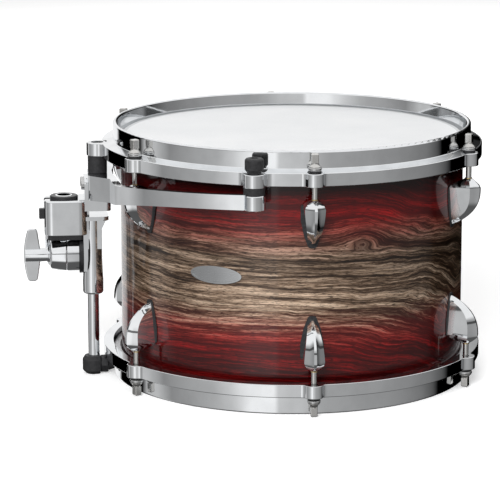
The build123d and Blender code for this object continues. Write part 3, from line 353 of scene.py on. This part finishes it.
def bare_wood():
    """Maple of the reinforcement rings, with the grain round the drum."""
    r = Recipe("bare_wood")
    x, y, z = r.split(r.place)
    along = r.math("MULTIPLY", r.math("ARCTAN2", y, x), SHELL_R)
    vector = r.join(r.math("MULTIPLY", along, 10.0), r.math("MULTIPLY", z, 420.0))
    grain = r.noise(vector, detail=5.0, roughness=0.65)
    r.set(Base_Color=r.ramp(grain, (0.35, (0.45, 0.31, 0.18)), (0.65, (0.66, 0.50, 0.33))), Roughness=0.5)
    r.bump(grain, 0.15, 0.0002)
    return r.material


MATERIALS = {
    "lacquered_shell": lacquered_shell(),
    "bare_wood": bare_wood(),
    "badge_metal": metal("badge_metal", (0.60, 0.61, 0.62), 0.16, 0.34, brushed=(60.0, 60.0, 4200.0)),
    "chrome": metal("chrome", (0.87, 0.885, 0.90), 0.02, 0.06, ripple=0.00004),
    "rod_steel": metal("rod_steel", (0.70, 0.69, 0.67), 0.14, 0.26, brushed=(300.0, 300.0, 2500.0)),
    "steel": metal("steel", (0.62, 0.62, 0.62), 0.14, 0.30),
    "aluminium": metal("aluminium", (0.72, 0.72, 0.73), 0.22, 0.40, brushed=(120.0, 120.0, 2200.0)),
    "brass": metal("brass", (0.72, 0.55, 0.28), 0.16, 0.32),
    "coated_film": coated_film(),
    "clear_film": clear_film(),
    "rubber": moulded("rubber", (0.016, 0.016, 0.017), 0.55, 420.0, 0.0002),
    "nylon": moulded("nylon", (0.012, 0.012, 0.013), 0.34, 700.0, 0.00008),
}


# ------------------------------------------------------------------ lugs
def closing(share, power, root):
    """A curve that falls from 1 to 0 as share goes from 0 to 1, slowly first and then fast."""
    return max(0.0, 1 - share ** power) ** (1 / root)


def divided(points, parts):
    """The points with each straight stretch between them divided into equal parts."""
    result = []
    for (x0, y0), (x1, y1), count in zip(points, points[1:], parts):
        result += [(x0 + (x1 - x0) * i / count, y0 + (y1 - y0) * i / count) for i in range(count)]
    return result + [points[-1]]


def lug_outline(share):
    """A level section of a lug facing +X, at a share of its height below the shoulder."""
    half_width = LUG_HALF_WIDTH * closing(share, 1.3, 2.2)
    side_end = SHELL_R + LUG_SIDE_DEPTH * closing(min(share / 0.88, 1), 3.0, 1.3)
    reach = SHELL_R + LUG_DEPTH * closing(share, 2.5, 1.2)
    side_end = max(side_end, LUG_ROOT_R + 2 * LUG_LEAST_STEP)
    reach = max(reach, side_end + 2 * LUG_LEAST_STEP)
    bevel_end = max(reach - LUG_BEVEL_DROP * (reach - SHELL_R), side_end + LUG_LEAST_STEP)
    corners = [(LUG_ROOT_R, half_width), (side_end, half_width), (bevel_end, LUG_BEVEL_SHARE * half_width),
               (reach, LUG_NOSE_SHARE * half_width)]
    half = divided(corners, LUG_EDGE_PARTS)
    return half + [(x, -y) for x, y in reversed(half)]


def toward_circle(outline, radius, share):
    """The outline drawn in towards a circle about the rod's centre."""
    result = []
    for x, y in outline:
        span = math.hypot(x - ROD_CIRCLE_R, y)
        circle_x = ROD_CIRCLE_R + radius * (x - ROD_CIRCLE_R) / span
        result.append((x + (circle_x - x) * share, y + (radius * y / span - y) * share))
    return result


def lug_rings():
    """Rings of points from the lug's point up to the shoulder, over the dome and down the bore."""
    rings = []
    for i in range(LUG_BODY_STEPS + 1):
        share = LUG_TIP_SHARE * max(0.0, math.cos(math.pi / 2 * i / LUG_BODY_STEPS))
        rings.append((lug_outline(share), LUG_TOP_Z - share * LUG_HEIGHT))
    shoulder = lug_outline(0.0)
    for i in range(1, LUG_DOME_STEPS + 1):
        share = i / LUG_DOME_STEPS
        rise = LUG_DOME_HEIGHT * share ** 0.6
        rings.append((toward_circle(shoulder, LUG_BORE_R, share), LUG_TOP_Z + rise))
    rings.append((toward_circle(shoulder, LUG_BORE_R, 1.0), LUG_TOP_Z - LUG_BORE_DEPTH))
    return rings


def add_lug(mesh, angle, upside_down):
    """Adds one lug to the mesh, turned to its angle and reflected for the lower row."""
    turn = Matrix.Rotation(math.radians(angle), 3, "Z")
    previous = None
    for outline, level in lug_rings():
        height = OVERALL_HEIGHT - level if upside_down else level
        ring = [mesh.verts.new(turn @ Vector((x, y, height))) for x, y in outline]
        if previous is None:
            mesh.faces.new(ring)
        else:
            for i in range(len(ring)):
                j = (i + 1) % len(ring)
                mesh.faces.new((previous[i], previous[j], ring[j], ring[i]))
        previous = ring


def new_object(name, mesh):
    """Turns a finished bmesh into an object in the scene."""
    data = bpy.data.meshes.new(name)
    mesh.to_mesh(data)
    mesh.free()
    made = bpy.data.objects.new(name, data)
    bpy.context.scene.collection.objects.link(made)
    return made


def round_edges(piece, width, segments, angle):
    """Rounds the edges sharper than an angle, so that they catch a line of light."""
    rounding = piece.modifiers.new("rounded_edges", "BEVEL")
    rounding.width = width
    rounding.segments = segments
    rounding.limit_method = "ANGLE"
    rounding.angle_limit = angle
    rounding.harden_normals = True


def make_lugs(name, node, upside_down):
    """One row of six lugs as a single piece that stands for the CAD node."""
    mesh = bmesh.new()
    for angle in LUG_ANGLES:
        add_lug(mesh, angle, upside_down)
    bmesh.ops.recalc_face_normals(mesh, faces=mesh.faces)
    lugs = new_object(name, mesh)
    round_edges(lugs, LUG_EDGE_ROUNDING, 3, LUG_SHARP_ANGLE)
    lugs.data.materials.append(MATERIALS["chrome"])
    for polygon in lugs.data.polygons:
        polygon.use_smooth = True
    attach(lugs, "drum")
    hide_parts(node)


for subpart in frame["record"]["subparts"]:
    node = frame["nodes"][subpart["node"]]
    node.data.materials.clear()
    node.data.materials.append(MATERIALS[subpart["material_slot"]])

for name, width in CLAMP_EDGES.items():
    weld = frame["nodes"][name].modifiers.new("joined_faces", "WELD")
    weld.merge_threshold = WELD_DISTANCE
    round_edges(frame["nodes"][name], width, 2, SHARP_ANGLE)

make_lugs("top_lug_castings", "top_lugs", upside_down=False)
make_lugs("bottom_lug_castings", "bottom_lugs", upside_down=True)


# ------------------------------------------------------------------ floor
FLOOR_R = 30.0
FLOOR_GLOW = 0.42                    # evens out the lamps' falloff


def make_floor():
    """A wide pale disc under the drum. It is hidden from reflections, so the metal mirrors the studio."""
    mesh = bmesh.new()
    bmesh.ops.create_circle(mesh, cap_ends=True, segments=96, radius=FLOOR_R)
    floor = new_object("floor", mesh)
    r = Recipe("floor_paint")
    clouds = r.noise(r.place, scale=3.0, detail=2.0)
    r.set(Base_Color=r.ramp(clouds, (0.3, (0.80, 0.80, 0.80)), (0.7, (0.83, 0.83, 0.83))), Roughness=0.9,
          Specular_IOR_Level=0.1, Emission_Color=(1.0, 1.0, 1.0, 1.0), Emission_Strength=FLOOR_GLOW)
    floor.data.materials.append(r.material)
    floor.visible_glossy = False
    floor.visible_diffuse = False
    floor.visible_transmission = False


# ------------------------------------------------------------------ studio
# Brightness of the studio's walls by compass direction in degrees from +X, read round from -X.
WALLS = [
    (180, 0.27), (196, 0.36), (216, 0.46), (226, 0.62), (238, 0.95), (253, 1.00), (256, 0.62), (270, 0.56),
    (287, 0.38), (317, 0.33), (337, 0.27), (357, 0.20), (368, 0.10), (374, 0.0), (436, 0.0),
    (443, 0.95), (473, 0.95), (478, 0.0), (511, 0.0), (517, 0.55), (527, 0.55), (540, 0.27),
]
BACK_PANEL = ((0.70, 0.73), (0.81, 0.83))    # where the bright back panel starts and ends, in turns from -X
BEAM = ((8.0, 10.0), (14.0, 16.0))           # elevations of a dark beam on the walls, except at the panel
CEILING = (16.0, 30.0)                       # elevations over which the walls give way to the pale ceiling
GROUND = (-34.0, -50.0)                      # elevations over which they give way to the dark ground
WORLD_FILL = 0.16                            # share of the studio's brightness that lights rough surfaces
BACKDROP = (0.93, 0.93, 0.93)


def grey(level):
    return (level, level, level)


def make_studio():
    """The studio round the drum: soft grey walls with a window, a pale ceiling and a dark ground."""
    world = bpy.data.worlds.new("studio")
    bpy.context.scene.world = world
    n = Nodes(world)
    x, y, z = n.split(n.add("ShaderNodeTexCoord").outputs["Generated"])
    compass = n.math("MULTIPLY_ADD", n.math("ARCTAN2", y, x), 1 / math.tau, 0.5)
    elevation = n.math("MULTIPLY", n.math("ARCSINE", z), math.degrees(1.0))
    walls = n.ramp(compass, *[((azimuth - 180) / 360, level) for azimuth, level in WALLS])
    beyond_panel = n.math("SUBTRACT", 1.0, n.pulse(compass, *BACK_PANEL))
    beam = n.math("MULTIPLY", n.pulse(elevation, *BEAM), beyond_panel)
    light = n.mix(n.math("MULTIPLY", beam, 0.85), walls, grey(0.03))
    light = n.mix(n.smooth(elevation, *CEILING), light, grey(0.95))
    light = n.mix(n.smooth(elevation, *GROUND), light, grey(0.10))
    path = n.add("ShaderNodeLightPath").outputs
    background = n.add("ShaderNodeBackground")
    n.feed(background.inputs["Color"], n.mix(path["Is Camera Ray"], light, BACKDROP))
    n.feed(background.inputs["Strength"], n.level(path["Is Diffuse Ray"], 1.0, WORLD_FILL))
    output = n.add("ShaderNodeOutputWorld")
    n.tree.links.new(background.outputs[0], output.inputs["Surface"])


def make_light(name, azimuth, elevation, distance, size, power):
    """A square soft light that aims at the drum and isn't mirrored in the metal."""
    data = bpy.data.lights.new(name, "AREA")
    data.shape = "SQUARE"
    data.size = size
    data.energy = power
    lamp = bpy.data.objects.new(name, data)
    bpy.context.scene.collection.objects.link(lamp)
    a = math.radians(azimuth)
    e = math.radians(elevation)
    out = Vector((math.cos(a) * math.cos(e), math.sin(a) * math.cos(e), math.sin(e)))
    lamp.location = Vector((0, 0, OVERALL_HEIGHT / 2)) + out * distance
    lamp.rotation_mode = "QUATERNION"
    lamp.rotation_quaternion = out.to_track_quat("Z", "Y")
    lamp.visible_glossy = False


CAMERA_PLACE = Vector((-0.28293, -2.40596, 0.63264))
CAMERA_AIM = Vector((0.09930541, 0.97234064, -0.2114051))
CAMERA_LENS = 198.8                  # millimetres, on a sensor 36 mm wide


def make_camera():
    """The camera at the viewing angle that the drum is shown from, with a long lens."""
    data = bpy.data.cameras.new("camera")
    data.lens = CAMERA_LENS
    data.sensor_width = 36.0
    data.clip_end = 100.0
    camera = bpy.data.objects.new("camera", data)
    bpy.context.scene.collection.objects.link(camera)
    camera.location = CAMERA_PLACE
    camera.rotation_mode = "QUATERNION"
    camera.rotation_quaternion = (-CAMERA_AIM).to_track_quat("Z", "Y")
    bpy.context.scene.camera = camera


make_floor()
make_studio()
make_light("key", azimuth=252, elevation=28, distance=2.2, size=0.9, power=50.0)
make_light("top_fill", azimuth=300, elevation=72, distance=2.4, size=2.0, power=11.0)
make_light("back_fill", azimuth=80, elevation=35, distance=2.6, size=1.6, power=34.0)
make_camera()
bpy.context.scene.view_settings.view_transform = "Standard"
